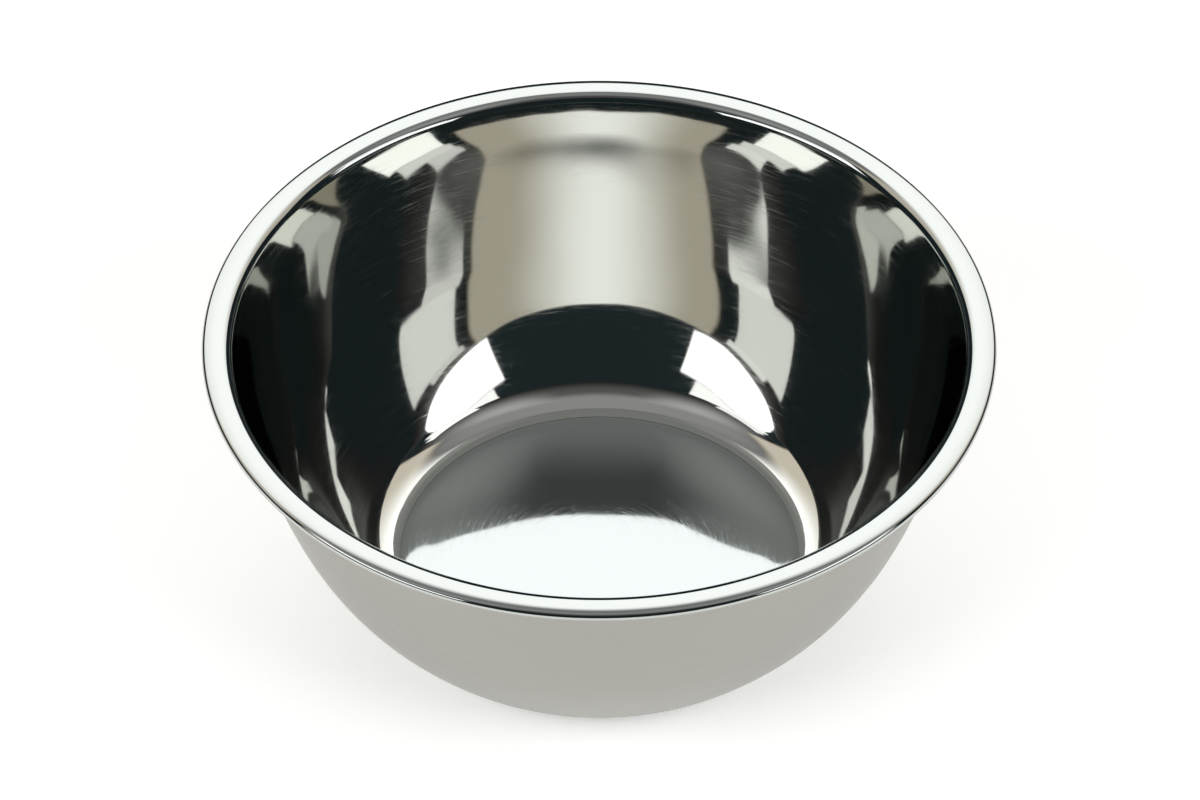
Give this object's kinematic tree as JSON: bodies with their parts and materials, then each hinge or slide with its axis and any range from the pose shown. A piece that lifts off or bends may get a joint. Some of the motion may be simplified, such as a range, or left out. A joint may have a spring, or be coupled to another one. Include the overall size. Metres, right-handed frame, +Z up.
{
  "type": "mixing bowl",
  "caption": "Round steel mixing bowl with a flat base, a steep curved wall and a wide flat rim rolled round a wire.",
  "frame": {"origin": "centre of the base, on the surface that the bowl stands on", "axes": "+Z up along the bowl's axis; the bowl is round, so +X and +Y are free"},
  "size_m": [0.3, 0.3, 0.118],
  "materials": {
    "bowl_steel": "mirror polished inside and on the rim, satin brushed outside",
    "wire_steel": "drawn wire, hidden in the rolled edge"
  },
  "bodies": {
    "root": {"bowl_shell": "bowl_steel", "rim_wire": "wire_steel"}
  },
  "joints": []
}
